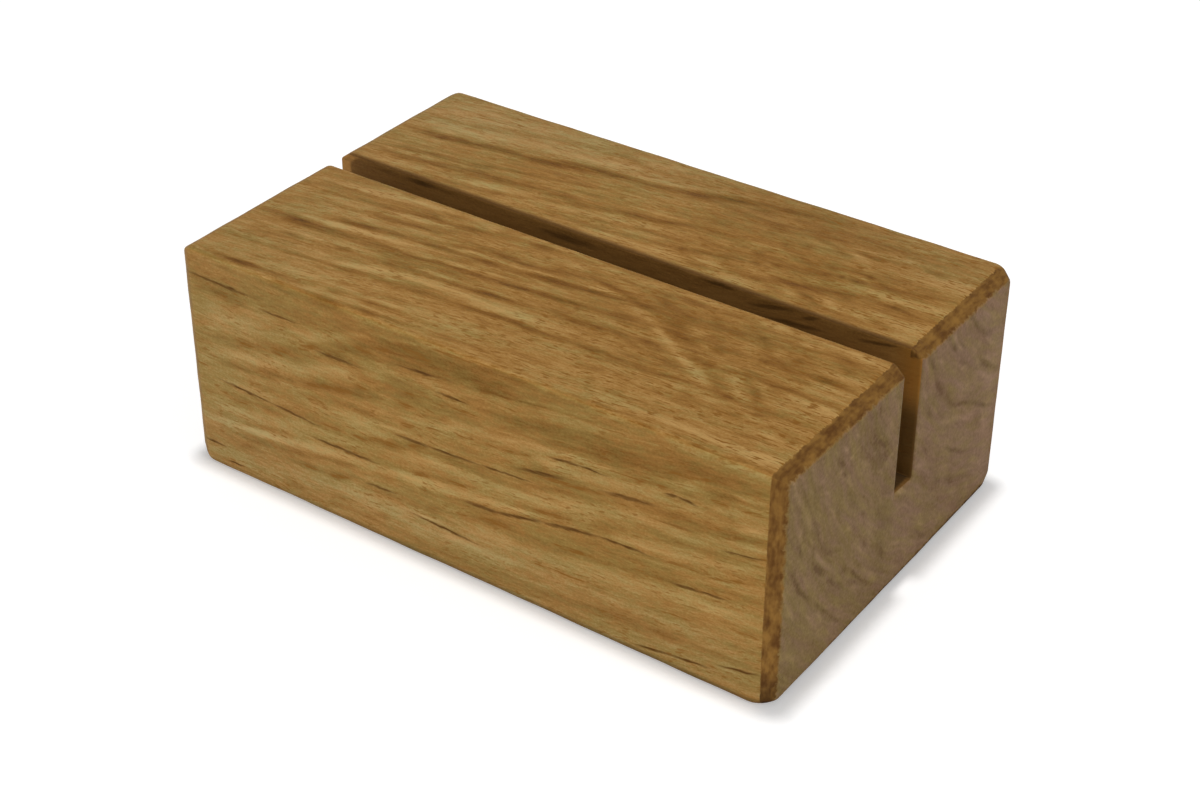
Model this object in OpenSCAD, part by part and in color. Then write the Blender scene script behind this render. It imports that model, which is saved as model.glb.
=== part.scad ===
// Place card holder: one block of solid oak with a card slot sawn along its length.
// X runs along the slot, the front face looks towards -Y and +Z is up.
// The origin is the centre of the base.

/* [Block] */
// Length of the block, along the slot
block_length = 80; // [50:1:160]
// Width of the block, from its front face to its back face
block_width = 50; // [36:1:90]
// Height of the block
block_height = 29.2; // [23:0.2:60]

/* [Card slot] */
// Width of the saw cut that holds the card
slot_width = 3.6; // [1.5:0.1:6]
// Depth of the saw cut below the top face
slot_depth = 16.2; // [6:0.2:19]
// Distance from the front face to the near wall of the slot
slot_from_front = 24.8; // [8:0.2:26]

/* [Edges] */
// How far the bevel at each end reaches along the block
bevel_run = 1.5; // [0.4:0.1:3]
// How far the same bevel reaches in from the edges of the end face
bevel_drop = 1.1; // [0.4:0.1:3]
// Radius of the four long edges
edge_radius = 0.6; // [0.2:0.1:2]
// Size of the eased edges along the mouth of the slot
mouth_ease = 0.2; // [0.1:0.05:0.6]
// Size of the eased edges where the slot leaves the end faces
exit_ease = 0.4; // [0.1:0.05:0.8]

/* [Hidden] */
$fn = 48;
oak_color = "#a07c46";

// Overrun of every cut past the face that it leaves through
cut_overrun = 1;

half_length = block_length / 2;
half_width = block_width / 2;
mid_height = block_height / 2;
slot_near_y = slot_from_front - half_width;
slot_far_y = slot_near_y + slot_width;
slot_floor_z = block_height - slot_depth;

// An outline drawn in Y and Z, extruded along X and centred on the origin
module along_x(span) {
    rotate([90, 0, 90])
        linear_extrude(height = span, center = true)
            children();
}

// An outline drawn in X and Z, extruded along Y and centred on the origin
module along_y(span) {
    rotate([90, 0, 0])
        linear_extrude(height = span, center = true)
            children();
}

// What is taken off one square corner at the origin to leave it round
module corner_waste(radius) {
    translate([-radius, -radius])
        difference() {
            square(radius + cut_overrun);
            circle(r = radius);
        }
}

// Cross-section of the block, with its four long edges rounded
module cross_section() {
    difference() {
        translate([-half_width, 0])
            square([block_width, block_height]);
        translate([0, mid_height])
            for (side = [0, 1], end = [0, 1])
                mirror([side, 0])
                    mirror([0, end])
                        translate([half_width, mid_height])
                            corner_waste(edge_radius);
    }
}

// Triangle taken off a square corner at the origin, where a bevel runs back
// along the first axis and drops down the second. It reaches past both faces
module bevel_waste(run, drop) {
    beyond_run = cut_overrun * run / drop;
    polygon([
        [-run - beyond_run, cut_overrun],
        [cut_overrun, -drop - cut_overrun * drop / run],
        [cut_overrun, cut_overrun]
    ]);
}

// Bevels round the end face at +X: above and below, then front and back
module end_bevel_waste() {
    for (side = [0, 1]) {
        translate([0, 0, mid_height])
            mirror([0, 0, side])
                along_y(block_width + 2 * cut_overrun)
                    translate([half_length, mid_height])
                        bevel_waste(bevel_run, bevel_drop);
        mirror([0, side, 0])
            translate([half_length, half_width, -cut_overrun])
                linear_extrude(height = block_height + 2 * cut_overrun)
                    bevel_waste(bevel_run, bevel_drop);
    }
}

// The saw cut in cross-section, a little wider at its mouth
module slot_section() {
    polygon([
        [slot_near_y, slot_floor_z],
        [slot_far_y, slot_floor_z],
        [slot_far_y, block_height - mouth_ease],
        [slot_far_y + mouth_ease + cut_overrun, block_height + cut_overrun],
        [slot_near_y - mouth_ease - cut_overrun, block_height + cut_overrun],
        [slot_near_y, block_height - mouth_ease]
    ]);
}

// Flare that eases both walls and the floor of the slot at the +X end face
module slot_exit_waste() {
    flare_start = half_length - exit_ease;
    flare_end = half_length + cut_overrun;
    flare = exit_ease + cut_overrun;
    intersection() {
        linear_extrude(height = block_height + cut_overrun)
            polygon([
                [flare_start, slot_near_y],
                [flare_end, slot_near_y - flare],
                [flare_end, slot_far_y + flare],
                [flare_start, slot_far_y]
            ]);
        along_y(block_width)
            polygon([
                [flare_start, slot_floor_z],
                [flare_end, slot_floor_z - flare],
                [flare_end, block_height + cut_overrun],
                [flare_start, block_height + cut_overrun]
            ]);
    }
}

module oak_block() {
    color(oak_color)
        difference() {
            along_x(block_length)
                cross_section();
            along_x(block_length + 2 * cut_overrun)
                slot_section();
            for (end = [0, 1])
                mirror([end, 0, 0]) {
                    end_bevel_waste();
                    slot_exit_waste();
                }
        }
}

oak_block();
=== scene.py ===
"""Looks of the place card holder: a block of solid oak with a card slot sawn along it.

The block is one closed mesh, made in the CAD part's own frame: X runs along the slot, the front face looks towards
-Y, +Z is up, and the origin is the centre of the base. The mesh and the oak's grain are laid out in millimetres, so
that the rings run through all the faces alike. The stage, the lamps and the camera are in metres.
"""

import math

import bpy
import numpy as np
from mathutils import Euler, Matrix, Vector


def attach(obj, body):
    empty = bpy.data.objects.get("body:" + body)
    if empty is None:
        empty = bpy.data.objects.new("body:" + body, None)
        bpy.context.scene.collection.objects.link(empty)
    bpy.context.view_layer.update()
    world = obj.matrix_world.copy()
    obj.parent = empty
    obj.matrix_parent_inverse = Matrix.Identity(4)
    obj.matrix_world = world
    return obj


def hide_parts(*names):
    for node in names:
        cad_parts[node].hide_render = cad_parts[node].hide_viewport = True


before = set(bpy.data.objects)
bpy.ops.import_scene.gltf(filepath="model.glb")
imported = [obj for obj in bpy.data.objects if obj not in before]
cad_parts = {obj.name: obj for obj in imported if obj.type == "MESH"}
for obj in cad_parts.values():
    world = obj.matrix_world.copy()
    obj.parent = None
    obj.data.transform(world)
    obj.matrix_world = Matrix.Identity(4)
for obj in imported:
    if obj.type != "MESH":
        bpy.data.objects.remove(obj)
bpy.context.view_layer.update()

MM = 0.001
MM_PER_METRE = 1000.0

# The CAD part's sizes
HALF_LENGTH = 40.0
HALF_WIDTH = 25.0
HEIGHT = 29.2
MID_HEIGHT = HEIGHT / 2
BEVEL_RUN = 1.5
BEVEL_DROP = 1.1
EDGE_RADIUS = 0.6
SLOT_NEAR = -0.2
SLOT_FAR = 3.4
SLOT_FLOOR = 13.0
SLOT_MIDDLE = (SLOT_NEAR + SLOT_FAR) / 2
SLOT_HALF = (SLOT_FAR - SLOT_NEAR) / 2

# Uneven lines that sanding by hand leaves, as waves of (length, phase) in mm and radians
LONG_EDGE_WAVES = [(31.0, 0.4), (12.7, 2.0), (7.3, 4.1)]
BEVEL_WAVES = [(23.0, 0.9), (11.1, 3.0), (5.9, 1.2)]
MOUTH_WAVES = [(9.0, 0.2), (4.7, 1.7)]

# How much smaller the end bevels are below and at the back, and how deep the block's corners are knocked off
SMALLER_BELOW = 0.30
SMALLER_BEHIND = 0.25
CORNER_DEPTH = 1.0

# Radii of the bevels' edges, and what a knock on the lower front corner at +X adds to each. The knock fades out
# upwards, and towards its start off the middle of the block.
BEVEL_RADIUS, BEVEL_KNOCK = 0.3, 0.8
END_RADIUS, END_KNOCK = 0.16, 0.2
CORNER_RADIUS, CORNER_KNOCK = 0.5, 0.4
KNOCK_REACH = 10.0
KNOCK_START = 12.0

# Radius along the mouth of the slot, and the length over which it grows towards the ends
MOUTH_RADIUS = 0.2
EXIT_REACH = 1.6

# Steps of the lattice at the edges and between them, and how far the fine ones reach
FINE_STEP = 0.22
COARSE_STEP = 1.25
FINE_REACH = 1.1
FINE_REACH_X = 2.0


# ---------------------------------------------------------------- mesh

def spread(low, high, reach=FINE_REACH):
    """Places from low to high, with fine steps at both ends and coarse ones in the middle."""
    ruler = np.linspace(low, high, 4001)
    to_edge = np.minimum(ruler - low, high - ruler)
    step = FINE_STEP + (COARSE_STEP - FINE_STEP) * np.clip((to_edge - reach) / (4 * reach), 0, 1)
    count = np.concatenate([[0], np.cumsum(np.diff(ruler) / step[1:])])
    return np.interp(np.linspace(0, count[-1], int(np.ceil(count[-1])) + 1), count, ruler)


def spread_over(*edges):
    """Places from the first edge to the last, with fine steps at each edge."""
    spans = [spread(low, high) for low, high in zip(edges, edges[1:])]
    return np.concatenate([spans[0]] + [span[1:] for span in spans[1:]])


def rounded(a, b, radius):
    """Distance outside two sides that meet in a rounded edge. Each side's distance is negative inside it."""
    inside = np.minimum(np.maximum(a, b), -radius)
    return inside + np.hypot(np.maximum(a + radius, 0), np.maximum(b + radius, 0))


def ripple(place, waves):
    """Smooth uneven line between 0 and 1."""
    total = sum(np.sin(2 * np.pi * place / length + phase) for length, phase in waves)
    return 0.5 + 0.5 * total / len(waves)


def end_bevel(end, side):
    """Distance outside the bevel between an end face and a side."""
    return (end * BEVEL_DROP + (side + BEVEL_DROP) * BEVEL_RUN) / np.hypot(BEVEL_RUN, BEVEL_DROP)


def hand_sanded(x, y, z):
    """Distance outside the block, in mm: the CAD shape with the soft, slightly uneven edges of hand sanding."""
    lid = np.abs(z - MID_HEIGHT) - MID_HEIGHT
    side = np.abs(y) - HALF_WIDTH
    end = np.abs(x) - HALF_LENGTH
    body = rounded(side, lid, EDGE_RADIUS * (0.75 + 0.3 * ripple(x, LONG_EDGE_WAVES)))

    low = np.clip(1 - z / KNOCK_REACH, 0, 1)
    knock = low ** 2 * np.clip((-y - KNOCK_START) / KNOCK_REACH, 0, 1) * (x > 0)
    wear = 0.07 * ripple(y + z + 7 * np.sign(x), BEVEL_WAVES) - 0.03
    below = np.where(z < MID_HEIGHT, SMALLER_BELOW + 0.15 * y / HALF_WIDTH, 0)
    behind = np.where(y > 0, SMALLER_BEHIND, 0)
    body = rounded(body, end_bevel(end, side) + wear - behind, BEVEL_RADIUS + BEVEL_KNOCK * knock)
    body = rounded(body, end_bevel(end, lid) + wear - below, BEVEL_RADIUS)
    body = rounded(body, end, END_RADIUS + END_KNOCK * knock)

    # The lower corners at the back are knocked off deepest, and the lower front one at +X least.
    deeper = low * np.where(y > 0, 0.3, np.where(x < 0, 0.1, -0.2))
    corner = (end + side + lid) / np.sqrt(3) + CORNER_DEPTH + deeper
    body = rounded(body, corner, CORNER_RADIUS + CORNER_KNOCK * knock)

    # The near edge of the mouth is worn more than the far one where the slot leaves the block.
    kerf = np.minimum(SLOT_HALF - np.abs(y - SLOT_MIDDLE), z - SLOT_FLOOR)
    to_end = np.clip((np.abs(x) - HALF_LENGTH + EXIT_REACH) / EXIT_REACH, 0, 1)
    to_far = np.clip((y - SLOT_MIDDLE) / SLOT_HALF, -1, 1)
    return rounded(body, kerf, MOUTH_RADIUS + (0.35 - 0.25 * to_far) * to_end ** 2 + 0.06 * ripple(x, MOUTH_WAVES))


def solid_lattice():
    """The block with square edges, as points and four-sided faces on a lattice that is finer along the edges."""
    xs = spread(-HALF_LENGTH, HALF_LENGTH, FINE_REACH_X)
    ys = spread_over(-HALF_WIDTH, SLOT_NEAR, SLOT_FAR, HALF_WIDTH)
    zs = spread_over(0, SLOT_FLOOR, HEIGHT)
    centres = [(line[1:] + line[:-1]) / 2 for line in (xs, ys, zs)]
    full = np.ones([len(line) for line in centres], bool)
    in_slot = np.abs(centres[1] - SLOT_MIDDLE) < SLOT_HALF
    full[:, in_slot[:, None] & (centres[2] > SLOT_FLOOR)[None, :]] = False
    padded = np.pad(full, 1)
    shape = (len(xs), len(ys), len(zs))
    quads = []
    for axis in range(3):
        ahead, beside = (axis + 1) % 3, (axis + 2) % 3
        before = np.take(padded, range(0, padded.shape[axis] - 1), axis)
        after = np.take(padded, range(1, padded.shape[axis]), axis)
        for here, order in ((before & ~after, (0, 1, 2, 3)), (after & ~before, (3, 2, 1, 0))):
            cells = np.argwhere(here)
            cells[:, [ahead, beside]] -= 1
            corners = []
            for u, v in ((0, 0), (1, 0), (1, 1), (0, 1)):
                corner = cells.copy()
                corner[:, ahead] += u
                corner[:, beside] += v
                corners.append(np.ravel_multi_index(corner.T, shape))
            quads.append(np.stack([corners[i] for i in order], 1))
    used, faces = np.unique(np.concatenate(quads), return_inverse=True)
    i, j, k = np.unravel_index(used, shape)
    return np.stack([xs[i], ys[j], zs[k]], 1), faces.reshape(-1, 4)


def drawn_onto(points, distance):
    """The points moved onto the surface where distance is zero, by 12 rounds of Newton's method."""
    tiny = 0.01
    for _ in range(12):
        off = distance(*points.T)
        slope = np.stack(
            [
                (distance(*(points + step).T) - distance(*(points - step).T)) / (2 * tiny)
                for step in np.eye(3) * tiny
            ],
            1,
        )
        steepness = np.maximum((slope ** 2).sum(1), 0.25)
        points = points - slope * (off / steepness)[:, None]
    return points


def make_block():
    """The block as one closed mesh."""
    points, faces = solid_lattice()
    points = drawn_onto(points, hand_sanded)
    mesh = bpy.data.meshes.new("oak_block_dressed")
    mesh.from_pydata((points * MM).tolist(), [], faces.tolist())
    mesh.validate()
    mesh.shade_smooth()
    block = bpy.data.objects.new("oak_block_dressed", mesh)
    bpy.context.scene.collection.objects.link(block)
    return block


# ---------------------------------------------------------------- nodes

class Signal:
    """A value in a node tree. Arithmetic on signals adds the Math nodes that do it."""

    def __init__(self, nodes, socket):
        self.nodes = nodes
        self.socket = socket

    def math(self, operation, *others):
        node = self.nodes.add("ShaderNodeMath", dict(enumerate((self, *others))), operation=operation)
        return Signal(self.nodes, node.outputs[0])

    def __add__(self, other):
        return self.math("ADD", other)

    def __sub__(self, other):
        return self.math("SUBTRACT", other)

    def __rsub__(self, other):
        return self * -1.0 + other

    def __mul__(self, other):
        return self.math("MULTIPLY", other)

    def __truediv__(self, other):
        return self.math("DIVIDE", other)

    def __abs__(self):
        return self.math("ABSOLUTE")

    def root(self):
        return self.math("SQRT")

    def most(self, other):
        return self.math("MAXIMUM", other)

    def over(self, low, high, new_low=0.0, new_high=1.0, smooth=True):
        """This value's way from low to high, as new_low to new_high."""
        inputs = {"Value": self, "From Min": low, "From Max": high, "To Min": new_low, "To Max": new_high}
        kind = "SMOOTHSTEP" if smooth else "LINEAR"
        node = self.nodes.add("ShaderNodeMapRange", inputs, interpolation_type=kind)
        return Signal(self.nodes, node.outputs["Result"])

    def toward(self, other, share):
        """This value where share is 0, and the other where it is 1."""
        return self + (other - self) * share


class Nodes:
    """A node tree, and the nodes that the materials repeat."""

    def __init__(self, tree):
        self.tree = tree

    def add(self, kind, inputs=None, **settings):
        """A new node. Each of its inputs is a number, a colour, a vector, a signal, or a socket to join it to."""
        node = self.tree.nodes.new(kind)
        for name, value in settings.items():
            setattr(node, name, value)
        for name, value in (inputs or {}).items():
            self.join(value, node.inputs[name])
        return node

    def join(self, value, socket):
        """Joins a signal or a socket to this socket, or sets it to a number, a colour or a vector."""
        source = value.socket if isinstance(value, Signal) else value
        if isinstance(source, bpy.types.NodeSocket):
            self.tree.links.new(source, socket)
        else:
            socket.default_value = source

    def parts(self, vector):
        return [Signal(self, out) for out in self.add("ShaderNodeSeparateXYZ", {0: vector}).outputs]

    def vector(self, x, y, z):
        return self.add("ShaderNodeCombineXYZ", {0: x, 1: y, 2: z}).outputs[0]

    def noise(self, x, y, z, detail=0.0, roughness=0.5):
        """Noise between 0 and 1, about a unit of the given coordinates across."""
        inputs = {"Vector": self.vector(x, y, z), "Scale": 1.0, "Detail": detail, "Roughness": roughness}
        return Signal(self, self.add("ShaderNodeTexNoise", inputs).outputs["Fac"])

    def curve(self, value, points):
        """The height over value of the line through points."""
        low, high = points[0][0], points[-1][0]
        node = self.add("ShaderNodeFloatCurve", {"Value": value.over(low, high, smooth=False)})
        line = node.mapping.curves[0]
        while len(line.points) < len(points):
            line.points.new(0.5, 0.5)
        for point, (x, y) in zip(line.points, points):
            point.location = ((x - low) / (high - low), y)
            point.handle_type = "AUTO_CLAMPED"
        node.mapping.update()
        return Signal(self, node.outputs["Value"])

    def ramp(self, value, stops):
        """The colour at value on the way through the stops, which are pairs of value and colour."""
        low, high = stops[0][0], stops[-1][0]
        node = self.add("ShaderNodeValToRGB", {"Fac": value.over(low, high, smooth=False)})
        elements = node.color_ramp.elements
        while len(elements) < len(stops):
            elements.new(0.5)
        for element, (at, colour) in zip(elements, stops):
            element.position = (at - low) / (high - low)
            element.color = (*colour, 1.0)
        return node.outputs["Color"]

    def blend(self, share, first, second, kind="MIX"):
        """A colour that goes from first to second. Each is a colour or a socket."""
        node = self.add("ShaderNodeMix", data_type="RGBA", blend_type=kind)
        self.join(share, node.inputs["Factor"])
        sockets = [socket for socket in node.inputs if socket.type == "RGBA"]
        for socket, colour in zip(sockets, (first, second)):
            self.join((*colour, 1.0) if isinstance(colour, tuple) else colour, socket)
        return [socket for socket in node.outputs if socket.type == "RGBA"][0]

    def tinted(self, colour, tint):
        """The colour times a tint."""
        return self.blend(1.0, colour, tint, "MULTIPLY")

    def stroke(self, point, x0, y0, x1, y1, half, drop, reach):
        """A slim ellipse along the line between two ends: 1 in its middle and 0 from its outline on."""
        node = self.add("ShaderNodeTexGradient", {"Vector": point}, gradient_type="SPHERICAL")
        mapping = node.texture_mapping
        mapping.vector_type = "TEXTURE"
        mapping.translation = ((x0 + x1) / 2, (y0 + y1) / 2 + drop, 0)
        mapping.rotation = (0, 0, math.atan2(y1 - y0, x1 - x0))
        mapping.scale = (math.hypot(x1 - x0, y1 - y0) * reach, half, 1)
        return Signal(self, node.outputs["Fac"])

    def marks(self, point, strokes, drop=0.0):
        """The cover of whichever stroke covers a point most."""
        cover = None
        for ends_and_half in strokes:
            stroke = self.stroke(point, *ends_and_half, drop, MARK_REACH)
            cover = cover.most(stroke) if cover else stroke
        return cover

    def figure(self, point, strokes, drop=0.0):
        """The strokes' changes of tone, added up in small groups, since one large tree is slow to build."""
        total = None
        for first in range(0, len(strokes), FIGURE_GROUP):
            group = bpy.data.node_groups.new("figure", "ShaderNodeTree")
            group.interface.new_socket("Point", in_out="INPUT", socket_type="NodeSocketVector")
            group.interface.new_socket("Change", in_out="OUTPUT", socket_type="NodeSocketFloat")
            inside = Nodes(group)
            start = inside.add("NodeGroupInput").outputs[0]
            change = 0.0
            for *ends, half, percent in strokes[first:first + FIGURE_GROUP]:
                stroke = inside.stroke(start, *ends, half * FIGURE_WIDENING, drop, FIGURE_REACH)
                change = stroke.math("MULTIPLY_ADD", percent / 100, change)
            inside.add("NodeGroupOutput", {0: change})
            part = Signal(self, self.add("ShaderNodeGroup", {0: point}, node_tree=group).outputs[0])
            total = total + part if total else part
        return total


# ---------------------------------------------------------------- colours and marks of the oak

def linear(red, green, blue):
    """A colour of 0 to 255 a channel, as it is seen, in the linear numbers that a shader takes."""
    shares = (red / 255, green / 255, blue / 255)
    return tuple(c / 12.92 if c <= 0.04045 else ((c + 0.055) / 1.055) ** 2.4 for c in shares)


BLACK = (0.0, 0.0, 0.0)
WHITE = (1.0, 1.0, 1.0)

# The wood along its fibres, from light to dark, and the reddish tone of its small pores
PALE = linear(171, 141, 87)
TAN = linear(143, 109, 55)
BROWN = linear(112, 77, 26)
UMBER = linear(82, 50, 4)
RUST = linear(124, 81, 24)
COOL_TINT, WARM_TINT = (0.94, 1.04, 1.0), (1.07, 0.95, 0.86)
GREY_TINT = (1.0, 1.07, 1.30)

# The walls of the slot, the painted light that makes them lighter deeper down and high at the +X exit, the painted
# shade low at the exits and on the slot's floor, and the painted shade on the lip of its far wall
KERF_DARK, KERF_LIGHT = linear(102, 68, 26), linear(154, 110, 54)
KERF_PAINTED_LIGHT = linear(178, 130, 70)
KERF_PORE = linear(34, 20, 8)
KERF_FLOOR_SHADE = linear(20, 12, 5)
EXIT_PAINTED_LIGHT = linear(153, 101, 36)
EXIT_PAINTED_SHADE = linear(74, 49, 19)
LIP_SHADE = linear(62, 40, 16)

# The end grain and the bevels round it
END_DARK, END_LIGHT = linear(95, 71, 40), linear(144, 118, 85)
OLIVE_CAST, PINK_CAST = (0.99, 1.035, 0.74), (1.04, 0.965, 1.13)
BEVEL_DARK, BEVEL_LIGHT = linear(86, 53, 18), linear(138, 100, 46)

# The pith is a curved line above and behind the block. Each of its coordinates is a place at the +X end, a slope and
# a bend on the way to the -X end. The rings round it are ellipses, with these shares of dy * dz and of dz * dz.
PITH_Y = (24.8, -2.84, -3.60)
PITH_Z = (31.64, -2.544, 0.992)
RING_SKEW, RING_HEIGHT = 0.524, 1.288

# Tone of the wood at each distance from the pith, in mm: 0 is the dark start of a ring and 1 its light middle
RING_TONES = [
    (0.0, 0.9), (2.6, 0.8), (3.6, 0.2), (4.6, 0.15), (5.6, 0.3), (8.0, 0.8), (10.4, 0.75), (12.2, 0.25),
    (14.5, 0.85), (16.6, 0.25), (18.6, 0.85), (21.0, 0.2), (22.5, 0.85), (24.2, 0.3), (26.0, 0.8), (28.2, 0.7),
    (30.0, 0.2), (31.2, 0.8), (33.0, 0.25), (35.0, 0.85), (36.1, 0.3), (37.8, 0.8), (39.7, 0.25), (41.6, 0.85),
    (44.0, 0.15), (45.2, 0.7), (45.9, 0.2), (47.5, 0.9), (49.0, 0.2), (50.0, 0.8), (51.1, 0.3), (53.1, 0.9),
    (54.0, 0.25), (55.2, 0.85), (56.8, 0.8), (57.6, 0.35), (58.7, 0.2), (60.0, 0.85), (61.6, 0.3), (64.0, 0.7),
]

# Marks of the wood are drawn on a sheet over each face, which reaches a margin past the face all round. A
# stroke is where it starts and ends, to the right and down, and half its thickness: in twentieths of a millimetre, or
# in thirtieths on the end sheet. The sheets of the front and of the slot's far wall lie below the top's, so that one
# point finds its strokes on any of the three.
SHEET_MARGIN = 1.6
SHEET_PARTS = 20.0
END_SHEET_PARTS = 30.0
FRONT_DROP = 2000.0
SLOT_DROP = 4000.0

# How far a stroke reaches from its middle, as a share of its length. Those of the figure are softer and wider.
MARK_REACH = 0.64
FIGURE_REACH = 0.85
FIGURE_WIDENING = 1.7
FIGURE_GROUP = 40

FRONT_RAYS = [
    (56,94,268,96,6), (276,120,385,117,4), (431,169,560,167,5), (668,121,790,111,5), (772,149,872,148,4),
    (650,307,760,302,6), (740,302,900,293,5), (880,293,1040,281,4), (125,359,300,366,5), (280,366,435,373,5),
    (398,412,600,408,6), (680,503,890,511,5), (562,475,658,470,5), (56,550,132,551,5), (128,590,184,588,4),
    (1076,197,1160,187,5), (1140,187,1225,187,4), (990,259,1110,240,7), (1205,229,1345,210,8), (842,407,945,400,8),
    (920,403,1070,371,7), (1040,377,1215,346,7), (1190,349,1335,341,5), (1360,171,1395,166,6), (1385,166,1442,170,5),
    (1500,253,1606,235,4), (1378,389,1462,377,6), (1440,379,1520,371,4), (1500,548,1604,529,5), (1290,592,1395,577,5),
    (1370,579,1488,566,5),
]
FRONT_PORES = [
    (400,310,462,309,7), (296,211,352,209,5), (302,221,338,221,6), (205,234,252,228,5), (385,183,435,162,10),
    (410,158,452,156,5), (436,260,540,243,7), (398,270,445,266,5), (543,221,588,219,5), (610,99,652,93,7),
    (552,118,602,119,7), (688,183,735,181,5), (660,215,716,217,8), (745,251,788,249,5), (820,238,880,234,4),
    (905,233,940,230,4), (950,230,1024,216,5), (672,272,716,264,7), (692,320,738,312,8), (578,347,684,334,8),
    (524,359,578,356,6), (440,363,498,360,5), (700,391,748,383,6), (805,370,852,368,6), (885,437,965,425,8),
    (820,449,850,447,5), (1076,421,1190,409,7), (1020,495,1080,490,4), (1070,490,1225,480,4), (1330,474,1432,465,3),
    (1465,336,1580,304,5), (1358,338,1475,327,5), (1525,440,1596,438,6), (1466,140,1510,140,6), (1535,138,1598,131,5),
    (1340,119,1450,103,5), (1440,105,1482,91,5), (1262,167,1370,154,4), (818,173,888,170,4), (688,70,766,79,9),
    (775,43,862,41,6), (52,337,94,337,4), (168,402,216,395,6), (372,503,420,500,6), (456,501,516,480,6),
    (1025,352,1118,341,6), (1040,260,1215,237,7),
]
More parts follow.
